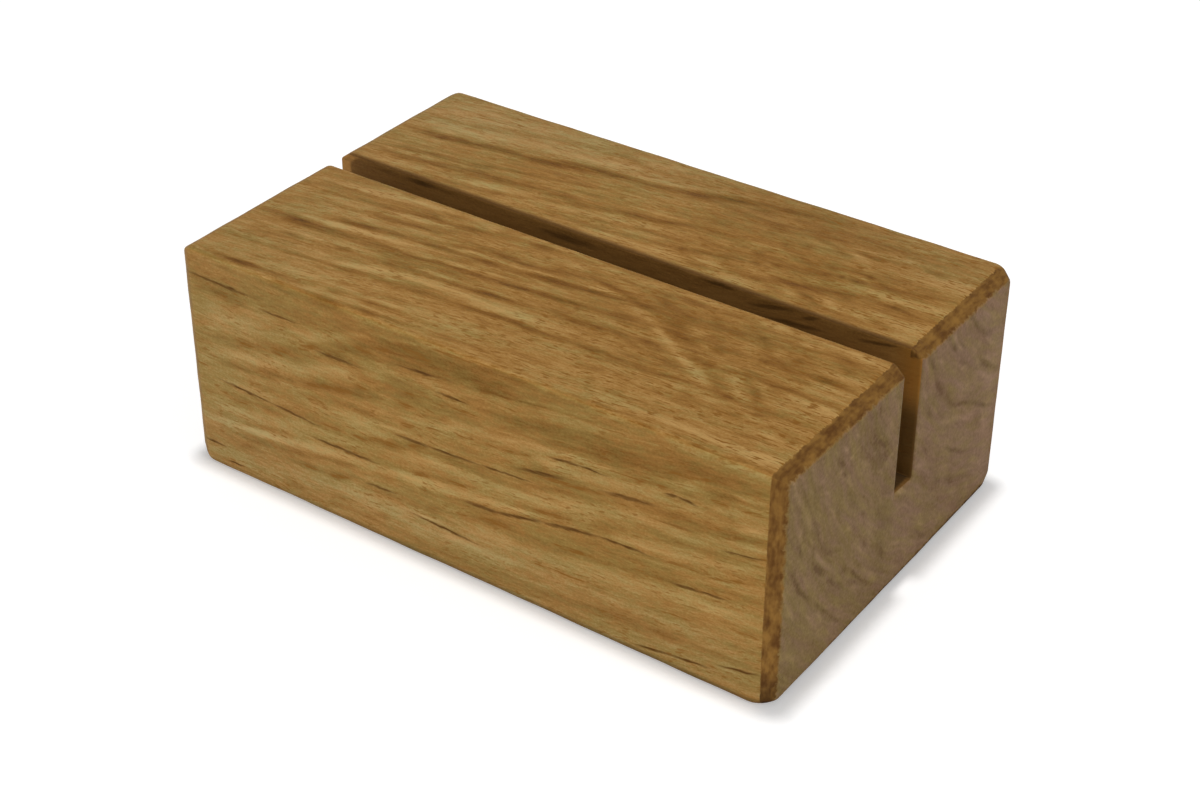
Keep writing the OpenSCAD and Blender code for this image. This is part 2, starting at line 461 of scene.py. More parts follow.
# Broad and fine streaks of the figure. Their last number is the change of tone, in hundredths: minus is darker.
FRONT_FIGURE = [
    (300,100,1050,90,60,-21), (60,90,300,100,50,-8), (1050,90,1600,110,50,-7), (60,540,1300,530,60,8),
    (60,240,300,220,60,5), (885,96,975,93,5,-35), (965,94,1060,80,3,-30), (1050,80,1250,60,4,-30),
    (1462,121,1532,117,7,-45), (1325,244,1420,239,3,-30), (565,84,720,62,22,-18), (690,66,860,70,22,-22),
    (850,72,1000,88,26,-16), (300,36,390,34,8,-20), (430,38,530,40,9,-25), (865,43,1060,40,7,-25),
    (100,116,205,122,10,-22), (145,232,265,227,11,-30), (285,209,400,196,12,-30), (310,222,340,220,6,-20),
    (160,253,200,250,8,-10), (150,305,225,304,8,-30), (262,292,320,284,10,-30), (340,280,375,277,6,-20),
    (395,270,455,257,10,-30), (440,256,545,242,11,-36), (530,236,610,214,15,-22), (420,285,620,283,5,-12),
    (225,333,375,332,7,-16), (130,392,235,386,9,-22), (245,380,315,392,9,-22), (150,414,225,406,8,-18),
    (430,372,570,366,8,-12), (570,350,640,342,8,-22), (625,345,690,328,11,-30), (308,434,352,432,6,-18),
    (225,448,295,443,5,-15), (185,452,225,456,8,-14), (215,487,330,481,7,-24), (320,482,405,467,9,-30),
    (420,462,525,445,8,-26), (150,500,265,497,5,-26), (170,523,240,518,10,-20), (290,509,385,500,7,-28),
    (370,503,435,495,8,-24), (455,497,520,482,9,-30), (585,440,660,430,6,-12), (740,472,775,460,12,-20),
    (720,425,750,422,6,-25), (455,550,505,547,8,-25), (590,549,630,545,10,-25), (310,573,365,568,12,-25),
    (400,558,440,556,8,-15), (415,158,455,154,7,-16), (440,160,550,158,12,-20), (480,140,610,125,10,-14),
    (545,108,600,118,10,-20), (640,200,740,180,22,-20), (740,192,900,178,14,-14), (675,270,715,264,8,-16),
    (545,287,600,286,6,-15), (690,318,740,312,11,-24), (740,315,880,312,10,-22), (860,320,1010,308,8,-16),
    (700,388,790,374,8,-20), (780,376,855,366,7,-20), (870,437,970,425,10,-26), (940,438,1050,428,9,-18),
    (1000,420,1080,400,10,-10), (1060,422,1200,408,12,-28), (1190,412,1330,395,12,-20), (1150,372,1390,365,14,-14),
    (1310,395,1400,385,10,-20), (980,358,1120,344,7,-22), (1190,328,1256,304,14,-26), (1320,285,1450,274,9,-26),
    (1440,275,1540,268,7,-12), (1020,292,1120,268,7,-20), (1100,268,1200,258,8,-14), (820,262,885,262,6,-22),
    (1000,255,1110,240,12,-22), (1100,245,1220,236,9,-22), (1320,225,1480,209,12,-26), (1470,215,1550,205,9,-30),
    (1540,203,1610,190,9,-26), (1400,232,1480,228,8,-10), (960,165,1020,135,16,-16), (1010,140,1110,124,18,-22),
    (1100,130,1260,125,22,-20), (1240,128,1420,104,16,-20), (1060,165,1140,155,9,-22), (1140,152,1240,145,8,-14),
    (1380,90,1480,82,16,-22), (1470,82,1606,75,20,-20), (1400,150,1430,148,5,-20), (1462,142,1520,138,10,-18),
    (900,152,990,148,10,-12), (1290,50,1420,70,14,-10), (1180,535,1400,528,16,-20), (1050,548,1300,545,14,-16),
    (1330,536,1400,530,8,-26), (1400,528,1600,520,10,-26), (1150,512,1180,510,8,-14), (980,530,1060,528,10,-14),
    (1540,310,1590,303,5,-12), (1500,353,1590,346,6,-18), (600,590,900,580,20,-16), (880,575,1240,560,18,-18),
    (100,195,240,178,28,20), (220,165,330,105,30,16), (380,142,470,124,11,26), (455,128,570,85,13,24),
    (550,88,660,60,16,18), (640,62,760,43,6,22), (740,48,880,35,6,20), (200,100,280,120,14,10),
    (100,290,260,268,14,20), (230,262,400,235,16,20), (380,235,500,205,12,14), (440,203,535,190,13,24),
    (520,192,600,180,12,16), (570,170,670,145,16,14), (660,140,860,125,14,22), (530,152,590,156,7,20),
    (600,130,650,120,14,14), (860,110,1010,105,12,20), (990,100,1260,75,14,20), (1240,68,1400,50,10,10),
    (130,355,300,347,6,20), (180,320,260,318,8,12), (300,300,400,292,8,14), (390,322,460,330,10,24),
    (490,318,610,310,18,20), (500,335,620,325,10,14), (560,262,690,250,12,14), (680,252,800,235,10,20),
    (780,238,860,210,14,22), (600,205,660,235,10,12), (590,296,710,290,5,26), (700,345,860,335,14,14),
    (740,340,1060,325,12,20), (300,385,460,378,8,12), (440,390,620,375,10,14), (610,365,740,360,12,14),
    (110,432,250,425,14,22), (250,425,340,410,12,14), (300,400,420,385,8,12), (230,467,400,448,9,32),
    (380,445,520,425,12,30), (500,428,650,413,9,28), (640,414,720,405,9,26), (700,408,830,392,12,34),
    (820,392,980,372,8,20), (900,386,1100,348,7,26), (80,480,230,470,9,24), (200,470,300,462,7,20),
    (480,520,700,508,12,14), (680,498,790,497,5,26), (700,532,880,522,10,20), (860,522,1080,512,9,18),
    (1060,512,1200,500,7,14), (1190,508,1480,485,10,16), (820,485,1000,472,14,14), (980,475,1120,460,12,14),
    (1100,460,1300,440,16,14), (1180,430,1450,405,18,20), (1420,410,1605,395,20,22), (1440,470,1604,450,12,16),
    (960,330,1120,305,14,20), (1080,305,1240,288,14,14), (1150,330,1200,310,8,14), (1250,330,1340,320,8,26),
    (1330,318,1500,300,9,22), (1480,335,1604,325,8,16), (1200,275,1260,265,10,14), (1250,262,1350,248,12,26),
    (1330,262,1465,256,10,28), (1460,240,1540,225,8,14), (1530,225,1606,212,8,24), (1490,290,1604,272,10,16),
    (1040,222,1110,208,10,26), (1100,220,1200,205,12,20), (1190,205,1300,190,10,12), (1000,192,1140,172,9,26),
    (1130,172,1250,168,7,20), (1200,200,1280,185,8,10), (820,217,950,205,12,22), (940,203,1020,190,8,20),
    (1270,190,1370,182,10,14), (1370,190,1470,182,10,12), (1370,140,1450,122,12,20), (1500,115,1600,98,6,20),
    (1540,180,1606,168,12,30), (1500,150,1600,144,6,14), (1470,155,1530,152,5,20), (830,158,980,158,5,14),
    (1480,45,1606,40,8,20), (780,160,860,160,6,16),
]
# The broad light stroke along the whole front edge of the top, (60,950,1620,950,55,13), is a painted highlight.
TOP_FIGURE = [
    (1000,340,1550,350,60,-6), (60,230,300,220,50,9), (340,250,640,330,90,-10), (940,110,1400,110,70,-20),
    (880,240,1420,280,100,-14), (100,380,400,380,60,-16), (640,300,760,240,60,-8), (1250,380,1420,380,60,-8),
    (500,610,1500,620,70,-18), (760,780,1600,780,60,-7), (60,950,1620,950,55,13), (100,780,500,770,60,6),
    (60,100,700,100,50,14), (100,178,180,178,9,-20), (200,168,300,150,8,-12), (290,138,400,130,9,-16),
    (340,112,560,98,12,-16), (560,105,660,95,16,-20), (640,95,760,110,14,-25), (750,100,860,95,14,-12),
    (90,262,230,252,12,-30), (130,275,220,262,12,-26), (210,262,360,232,13,-38), (330,240,480,225,12,-32),
    (450,228,560,200,15,-40), (540,200,660,182,14,-42), (630,190,740,174,10,-42), (730,186,820,160,12,-34),
    (800,165,900,140,14,-30), (860,160,960,120,16,-34), (940,130,1010,105,14,-30), (1000,112,1130,85,14,-26),
    (1110,88,1250,70,12,-16), (500,215,600,212,9,-20), (440,240,520,232,9,-16), (230,250,300,262,10,-16),
    (120,335,260,322,5,-12), (255,318,300,314,6,-20), (170,352,350,330,5,-20), (340,332,420,315,5,-22),
    (390,315,520,298,7,-28), (500,298,600,276,5,-18), (590,276,680,258,6,-26), (130,370,200,360,8,-20),
    (200,358,340,344,5,-20), (330,346,400,335,6,-14), (590,300,720,288,7,-14), (140,405,230,400,10,-26),
    (200,395,330,385,7,-20), (320,388,430,378,6,-14), (350,365,420,360,12,-14), (410,368,485,360,9,-32),
    (480,354,550,346,8,-34), (575,348,650,338,9,-36), (640,350,700,355,7,-20), (690,345,780,330,10,-20),
    (770,325,860,312,9,-38), (850,315,920,300,9,-34), (560,385,620,376,6,-14), (700,395,770,390,6,-14),
    (750,388,860,368,6,-16), (330,440,440,424,8,-16), (430,424,530,406,9,-28), (600,420,650,412,12,-14),
    (960,165,1040,168,10,-10), (1020,140,1080,110,10,-10), (1090,175,1140,186,9,-24), (1205,168,1245,174,7,-20),
    (1070,170,1130,165,10,-10), (880,215,1000,208,6,-14), (950,235,1010,235,12,-16), (1080,245,1130,240,10,-16),
    (1150,235,1175,232,10,-28), (1195,218,1230,214,10,-22), (1260,190,1305,197,8,-30), (1320,174,1380,180,10,-34),
    (1380,170,1440,158,7,-20), (1470,150,1530,160,9,-34), (1540,148,1600,142,7,-14), (900,290,1000,276,8,-24),
    (990,280,1060,274,6,-22), (1220,265,1270,300,14,-20), (1290,262,1315,275,10,-28), (1300,295,1310,310,12,-28),
    (1320,250,1400,252,7,-18), (1380,255,1400,260,10,-28), (1330,292,1345,290,8,-30), (1360,285,1395,292,11,-30),
    (1400,265,1450,272,10,-30), (1450,277,1530,262,9,-34), (1520,262,1560,256,8,-28), (1260,320,1300,300,10,-14),
    (1120,305,1150,320,12,-22), (1140,340,1160,352,8,-28), (1180,335,1205,330,9,-28), (1160,322,1260,318,10,-16),
    (840,370,1000,358,7,-22), (970,390,990,388,9,-30), (1000,380,1060,368,8,-26), (1050,370,1110,356,9,-26),
    (980,335,1100,332,9,-16), (880,400,990,392,6,-12), (1220,386,1270,382,9,-32), (1260,378,1330,364,10,-32),
    (1330,362,1400,352,9,-28), (1380,372,1410,365,8,-20), (1410,345,1500,340,8,-16), (1475,345,1520,335,14,-34),
    (1520,350,1560,355,9,-26), (1560,345,1606,345,6,-14), (1110,410,1180,408,9,-26), (1170,408,1215,400,9,-26),
    (1290,400,1340,418,8,-26), (1330,416,1420,440,9,-20), (1460,400,1520,418,7,-16), (1010,435,1085,425,9,-34),
    (1300,140,1400,120,12,-10), (1200,145,1290,155,10,-10), (1410,225,1520,230,10,-12), (110,555,230,550,12,-20),
    (110,610,250,605,10,-12), (130,645,250,634,7,-24), (250,628,400,614,8,-24), (380,602,485,598,9,-34),
    (515,598,570,586,8,-34), (550,590,680,575,8,-14), (440,562,510,560,10,-16), (700,566,765,566,10,-28),
    (280,672,420,662,8,-12), (310,662,400,660,7,-20), (380,660,500,644,8,-22), (180,682,280,676,6,-10),
    (540,660,700,646,8,-20), (640,645,690,642,8,-20), (680,652,780,650,7,-26), (780,640,860,628,8,-26),
    (430,694,560,678,6,-18), (540,680,600,668,6,-18), (470,710,570,698,7,-34), (620,694,700,688,8,-36),
    (735,688,830,670,9,-36), (800,672,870,676,10,-36), (225,740,330,724,8,-30), (290,730,400,712,10,-42),
    (390,712,450,705,7,-20), (410,745,540,728,6,-16), (520,730,640,718,10,-14), (690,716,790,712,6,-20),
    (100,790,280,782,14,-42), (150,805,260,795,12,-26), (270,790,420,764,16,-32), (400,778,520,764,12,-36),
    (500,772,570,758,8,-26), (570,756,680,750,7,-36), (670,750,780,742,6,-36), (760,742,860,730,9,-42),
    (560,770,680,770,14,-16), (440,800,560,800,18,-16), (455,825,540,822,12,-24), (550,816,680,810,7,-30),
    (340,833,375,828,8,-34), (300,828,430,824,8,-16), (195,848,240,844,8,-30), (150,875,200,866,10,-20),
    (700,803,760,800,10,-40), (740,800,840,790,9,-36), (80,925,250,918,6,-30), (230,918,330,906,7,-34),
    (320,906,420,900,6,-30), (400,903,480,890,9,-42), (470,890,600,886,9,-28), (590,885,660,876,9,-30),
    (680,875,780,868,9,-42), (770,868,860,860,8,-42), (560,865,700,865,9,-12), (320,924,400,920,6,-12),
    (350,952,400,950,7,-16), (440,947,480,945,6,-28), (510,952,560,950,7,-14), (565,938,615,934,7,-28),
    (690,925,770,928,6,-14), (790,925,840,918,7,-20), (810,955,880,952,7,-18), (180,970,330,960,6,-12),
    (380,985,430,980,8,-20), (440,985,490,978,9,-26), (525,980,600,976,7,-40), (590,975,650,968,7,-36),
    (650,980,730,974,6,-16), (740,996,820,990,7,-24), (120,1008,240,1008,8,-34), (180,1012,240,1006,9,-30),
    (230,1005,330,998,7,-26), (540,1012,600,1010,7,-36), (590,1010,700,1000,8,-30), (300,1038,440,1022,10,-34),
    (450,1020,520,1025,8,-34), (430,1038,520,1042,10,-28), (740,1028,790,1022,9,-16), (900,612,1000,630,9,-26),
    (990,630,1060,650,9,-20), (1030,648,1070,645,6,-24), (1060,640,1110,650,8,-14), (1055,598,1110,616,10,-26),
    (1060,585,1080,578,7,-20), (1100,572,1150,570,8,-20), (1110,625,1190,640,12,-18), (1215,595,1235,640,16,-18),
    (1250,625,1310,622,8,-26), (1320,605,1340,612,8,-22), (1330,615,1370,640,10,-18), (1360,655,1400,665,8,-18),
    (1395,597,1450,592,7,-30), (1430,635,1445,650,9,-26), (1430,650,1460,670,10,-14), (1480,582,1560,590,9,-26),
    (1500,600,1570,636,9,-22), (860,668,980,652,8,-34), (880,690,1020,686,7,-12), (1105,665,1175,680,18,-30),
    (1130,660,1180,670,14,-20), (1220,685,1265,665,12,-22), (1150,705,1225,712,14,-42), (1260,703,1295,715,10,-36),
    (1260,690,1340,696,7,-24), (1370,690,1400,688,9,-30), (1380,670,1460,690,10,-28), (1370,710,1410,715,8,-22),
    (1450,712,1500,708,9,-30), (1480,675,1575,678,11,-48), (1360,735,1400,745,8,-16), (850,734,920,727,9,-42),
    (900,726,970,720,8,-40), (935,735,945,745,7,-30), (960,722,1020,718,6,-20), (1015,712,1065,718,12,-36),
    (1050,730,1120,738,8,-14), (1200,735,1260,745,8,-16), (900,780,1000,775,10,-26), (940,778,1010,785,9,-20),
    (1005,778,1040,775,8,-34), (1050,775,1100,770,8,-26), (1115,765,1160,762,10,-30), (1160,765,1185,790,10,-16),
    (1165,800,1240,808,6,-24), (1100,785,1130,790,6,-16), (1230,760,1290,765,9,-30), (1280,760,1305,768,9,-36),
    (1310,765,1370,757,8,-26), (1370,752,1450,752,7,-26), (1440,755,1500,752,9,-40), (1440,765,1470,775,8,-20),
    (1490,750,1600,748,6,-20), (1310,785,1370,835,12,-22), (1380,760,1430,800,10,-16), (1420,790,1450,830,12,-20),
    (850,862,910,864,9,-46), (900,866,970,864,7,-34), (970,860,1040,856,8,-30), (1040,860,1095,852,8,-40),
    (1100,860,1140,856,8,-30), (1150,853,1200,852,9,-30), (1190,858,1280,846,9,-34), (1290,842,1400,842,6,-20),
    (1375,842,1400,842,8,-30), (1400,845,1570,842,7,-24), (1455,862,1490,862,12,-26), (1350,862,1390,858,8,-16),
    (1300,860,1330,920,12,-14), (1330,900,1445,895,9,-20), (1420,895,1450,888,8,-24), (1500,888,1600,888,7,-10),
    (1100,912,1130,910,9,-22), (1050,915,1100,920,12,-12), (1160,908,1200,910,8,-12), (1250,905,1320,905,8,-14),
    (900,935,930,940,7,-14), (920,958,1020,955,7,-16), (1110,945,1130,945,8,-20), (1190,945,1210,952,8,-18),
    (1275,943,1295,945,8,-24), (1480,940,1510,941,7,-22), (1120,980,1145,978,7,-18), (1380,965,1600,962,8,-10),
    (880,992,960,990,8,-12), (850,1045,1000,1040,10,-28), (980,1042,1080,1042,9,-30), (1130,1035,1160,1035,8,-20),
    (1160,1042,1185,1042,8,-30), (1290,1035,1325,1025,10,-40), (1355,1035,1385,1028,9,-24),
    (1415,1030,1450,1028,8,-30), (1460,1035,1500,1040,10,-20), (1480,1025,1600,1015,6,-20), (90,225,220,205,20,16),
    (120,245,230,235,12,12), (200,215,340,190,22,18), (300,205,480,180,22,18), (300,170,480,150,16,12),
    (460,170,640,150,14,20), (470,140,560,140,8,12), (560,145,720,120,16,20), (620,165,740,150,9,14),
    (740,150,860,130,8,18), (820,135,960,100,7,16), (900,92,1000,86,7,12), (670,92,745,85,7,14),
    (380,285,440,278,6,12), (180,320,330,305,6,10), (190,342,330,318,5,14), (120,388,260,372,10,20),
    (190,375,260,368,8,16), (250,360,400,339,9,14), (380,338,520,312,10,16), (500,310,640,282,9,16),
    (620,283,710,268,8,14), (620,318,690,312,10,20), (690,318,760,312,9,14), (750,215,900,205,12,12),
    (700,250,860,240,14,12), (780,285,900,275,12,12), (480,345,540,338,5,14), (110,440,260,420,12,22),
    (250,425,350,405,14,18), (340,425,470,405,14,30), (420,405,560,380,14,26), (540,385,600,365,14,12),
    (590,398,700,380,12,26), (480,435,640,410,14,18), (700,372,860,350,14,20), (780,405,880,385,10,14),
    (760,440,860,430,14,20), (930,152,1090,148,8,14), (1060,142,1150,140,9,20), (1180,190,1260,196,7,12),
    (1300,192,1400,200,9,22), (1310,185,1340,190,7,18), (1380,142,1440,146,8,22), (1300,155,1380,152,8,14),
    (1440,190,1600,180,14,14), (1540,165,1600,185,16,22), (1290,230,1380,228,12,14), (1560,225,1604,210,14,14),
    (1450,215,1560,205,10,12), (1215,215,1270,225,12,10), (1090,262,1220,280,11,20), (1100,280,1130,290,12,16),
    (1150,290,1250,300,8,12), (940,320,1100,305,10,14), (860,345,960,335,12,14), (820,385,980,378,8,12),
    (1280,340,1310,335,12,20), (1200,355,1260,350,12,14), (1340,325,1400,318,12,14), (1390,320,1600,300,14,22),
    (1360,303,1480,303,10,16), (1560,290,1604,300,20,14), (1120,370,1200,385,12,18), (1030,400,1095,405,16,34),
    (1250,405,1300,430,12,26), (1340,395,1400,415,14,34), (1430,385,1560,390,10,24), (1440,410,1480,422,10,22),
    (1540,405,1604,410,18,26), (1560,370,1604,380,16,24), (1110,440,1200,435,14,30), (880,435,990,425,14,20),
    (1350,380,1380,385,6,20), (1520,440,1600,430,12,18), (110,595,260,588,8,20), (200,588,380,564,11,32),
    (200,570,330,560,8,16), (360,560,520,548,9,24), (480,575,600,556,9,20), (540,562,600,552,12,20),
    (600,560,720,548,8,20), (700,548,860,546,8,30), (640,585,720,582,9,18), (740,582,800,580,10,20),
    (800,590,860,586,12,30), (340,632,440,624,9,34), (420,622,520,614,8,24), (550,625,660,615,8,26),
    (660,605,860,600,10,14), (700,625,780,622,10,18), (190,665,280,655,8,16), (180,702,240,698,8,22),
    (260,700,380,692,9,22), (240,690,330,688,7,10), (400,680,530,665,9,22), (500,688,600,678,6,20),
    (560,685,640,672,7,20), (600,676,720,668,7,26), (700,672,800,660,6,30), (780,660,860,648,6,24),
    (200,765,330,748,10,24), (280,752,440,735,9,34), (420,738,560,718,8,30), (140,760,250,750,12,14),
    (150,720,250,712,12,12), (580,738,660,736,6,20), (640,730,760,725,6,12), (760,722,860,712,7,18),
    (780,700,860,695,6,14), (440,758,560,748,6,16), (560,800,670,796,6,24), (700,792,860,775,6,24),
    (160,840,280,830,8,18), (250,832,400,812,7,16), (560,838,720,830,12,28), (480,850,620,840,10,26),
    (400,880,480,868,10,28), (440,868,520,855,10,30), (370,885,420,880,8,18), (700,840,860,828,16,32),
    (200,875,360,870,14,10), (240,938,420,930,9,10), (430,918,560,910,12,14), (700,905,790,902,9,12),
    (280,962,400,955,10,12), (520,962,660,956,5,22), (200,985,300,988,9,14), (380,1010,440,1008,8,26),
    (440,1002,560,995,6,16), (560,998,720,990,6,14), (860,565,960,556,10,26), (980,560,1070,556,10,30),
    (1090,552,1200,550,8,34), (1300,560,1360,556,12,30), (1390,552,1600,555,8,30), (1400,585,1450,577,9,34),
    (1520,560,1600,570,12,26), (1250,580,1290,585,9,14), (930,600,1060,612,10,16), (900,640,980,640,9,24),
    (860,650,960,642,7,24), (1010,660,1080,675,16,16), (1060,690,1110,680,12,16), (1190,665,1225,680,12,14),
    (1380,635,1400,650,12,22), (1300,650,1340,660,12,16), (1320,675,1350,678,7,18), (1490,650,1570,648,14,36),
    (1560,630,1604,650,16,24), (1500,610,1530,625,10,12), (1470,610,1500,630,12,12), (900,682,990,672,7,24),
    (840,705,900,700,7,14), (960,745,1040,742,8,12), (1100,690,1160,730,10,24), (1140,720,1200,750,9,26),
    (1195,760,1250,785,9,34), (1235,780,1300,810,12,28), (1270,800,1330,840,16,26), (1350,765,1380,800,14,20),
    (1380,800,1425,835,14,22), (1320,740,1350,735,10,20), (1270,720,1310,730,8,12), (1400,770,1430,775,9,12),
    (1480,770,1604,778,10,30), (1460,800,1600,815,16,20), (1490,700,1600,698,8,32), (1500,725,1580,728,6,18),
    (1570,760,1604,800,16,16), (1030,828,1110,832,10,26), (1060,795,1100,800,10,12), (820,835,960,828,18,26),
    (960,835,1020,830,14,12), (1240,870,1290,868,12,12), (1450,880,1500,876,9,26), (1340,878,1380,872,10,18),
    (1480,860,1600,870,12,12), (1510,905,1540,915,10,20), (1480,915,1600,920,10,12), (1270,918,1300,915,8,16),
    (980,885,1050,880,12,10), (1260,985,1420,982,9,18), (1400,992,1540,990,10,28), (1530,990,1606,978,13,42),
    (1150,985,1260,990,8,12), (1490,1010,1600,1003,7,14), (1510,1040,1600,1035,9,20), (1380,1040,1410,1045,6,18),
]
END_FIGURE = [
    (137,85,190,200,7,-10), (190,195,250,320,7,-12), (245,310,300,430,9,-12), (295,420,360,500,10,-14),
    (350,490,420,525,8,-8), (368,155,410,205,9,-24), (408,222,436,258,8,-20), (440,295,468,345,8,-12),
    (470,350,530,440,16,-12), (556,460,582,495,9,-16), (382,348,415,410,8,-12), (640,245,695,285,9,-16),
    (620,300,710,345,20,-10), (44,285,66,332,8,-18), (105,415,142,460,9,-16), (148,475,182,540,9,-24),
    (180,535,245,610,8,-16), (150,335,180,395,8,-14), (255,475,285,520,9,-20), (280,510,325,560,10,-26),
    (355,600,402,648,9,-20), (400,645,455,690,8,-16), (282,640,318,688,7,-18), (318,684,366,742,8,-16),
    (385,750,445,825,8,-14), (508,660,548,708,8,-20), (548,708,600,765,7,-18), (598,762,660,815,8,-12),
    (455,615,488,650,9,-12), (145,710,170,730,8,-10), (618,105,652,138,9,-16), (582,600,608,628,6,-12),
    (705,700,738,750,10,-12), (212,362,232,392,7,-12), (242,420,268,465,8,-14), (178,305,192,345,7,-12),
    (155,250,168,280,8,-10), (90,45,125,140,10,18), (125,145,178,225,10,18), (178,228,205,285,10,14),
    (205,280,222,320,9,14), (160,295,170,335,9,16), (168,350,192,385,7,8), (222,362,245,395,8,16),
    (262,435,290,478,8,14), (290,475,325,525,9,16), (322,515,368,562,9,14), (375,555,435,640,14,14),
    (440,645,520,700,10,8), (70,462,90,498,9,16), (108,560,140,600,10,14), (66,700,100,750,12,12),
    (220,650,290,735,12,10), (308,700,330,745,8,12), (110,740,190,820,14,12), (510,725,575,780,10,12),
    (595,715,650,765,10,10), (640,760,700,820,10,16), (550,588,575,628,8,20), (505,560,545,600,9,12),
    (462,470,500,495,9,14), (345,325,390,385,12,12), (390,385,470,470,12,8), (414,140,434,165,7,22),
    (375,205,405,225,7,10), (445,190,475,210,7,10), (470,110,500,145,8,12), (260,170,300,200,9,12),
    (290,235,335,250,8,10), (530,262,575,292,8,10), (440,255,475,315,8,9), (655,362,688,398,8,12),
    (690,360,760,335,8,14), (700,90,730,260,28,8), (390,215,540,180,4,10), (908,45,940,92,7,-12),
    (938,90,1000,175,9,-14), (1002,195,1030,245,10,-20), (1025,240,1070,295,14,-20), (1070,292,1125,355,12,-14),
    (1120,352,1180,405,9,-16), (1178,402,1225,420,8,-22), (1220,415,1275,440,8,-18), (1272,440,1355,485,9,-15),
    (1350,492,1405,520,8,-16), (1395,515,1430,540,8,-22), (1425,538,1490,562,7,-14), (1125,535,1180,580,8,-14),
    (1175,578,1215,600,8,-18), (1210,600,1275,645,9,-18), (1270,640,1340,670,7,-10), (1255,108,1305,172,9,-18),
    (1300,170,1360,215,10,-12), (1355,212,1440,240,10,-8), (1335,300,1385,345,10,-14), (1380,340,1450,392,10,-16),
    (1445,388,1500,425,9,-18), (1100,122,1142,170,9,-16), (1175,160,1210,195,8,-14), (1175,225,1220,258,7,-12),
    (965,312,992,338,8,-14), (955,445,1005,485,8,-12), (970,560,1000,620,16,-10), (1070,620,1115,680,14,-12),
    (1165,692,1235,738,14,-16), (955,770,1000,825,9,-14), (995,820,1040,858,9,-14), (1260,735,1370,795,9,-8),
    (1060,62,1095,98,9,-12), (1210,50,1252,100,8,-12), (1380,110,1410,150,7,-10), (890,640,905,690,7,-8),
    (905,205,950,245,10,14), (990,300,1040,355,8,12), (1015,140,1055,170,10,10), (1100,88,1140,130,8,18),
    (1150,155,1195,192,8,16), (1195,255,1240,295,9,12), (1195,60,1215,105,9,10), (1262,40,1285,85,9,12),
    (1340,65,1400,90,12,12), (1320,110,1380,150,12,8), (1395,155,1440,195,10,12), (1375,238,1405,262,8,12),
    (1405,262,1440,292,7,14), (1270,228,1305,255,9,8), (1305,290,1335,315,8,8), (1300,340,1360,365,9,10),
    (1355,365,1420,415,9,16), (1415,412,1450,440,8,12), (1365,305,1430,345,8,10), (1055,395,1115,435,9,12),
    (1110,425,1190,458,9,14), (1185,455,1260,490,11,12), (1255,490,1340,530,13,12), (1150,315,1260,385,24,8),
    (1045,605,1095,630,8,8), (1120,612,1185,645,9,8), (1350,715,1410,750,12,12), (975,762,1025,795,5,14),
    (920,800,970,845,9,10), (805,735,850,760,8,10), (800,532,845,558,9,22), (1410,560,1440,640,9,8),
    (900,500,980,525,14,8), (570,110,650,340,50,-14), (1450,90,1460,760,45,10), (320,480,640,860,60,-6),
    (700,300,720,900,50,-9), (990,250,1100,420,60,-6), (880,500,1300,860,80,-5), (80,350,90,600,30,5),
]
SLOT_RAYS = [
    (1084,41,1162,39,7), (1195,64,1320,40,9), (1335,52,1382,38,7), (1472,58,1584,38,7), (620,60,810,56,14),
    (240,46,330,44,10), (1240,80,1400,66,8),
]


# ---------------------------------------------------------------- oak

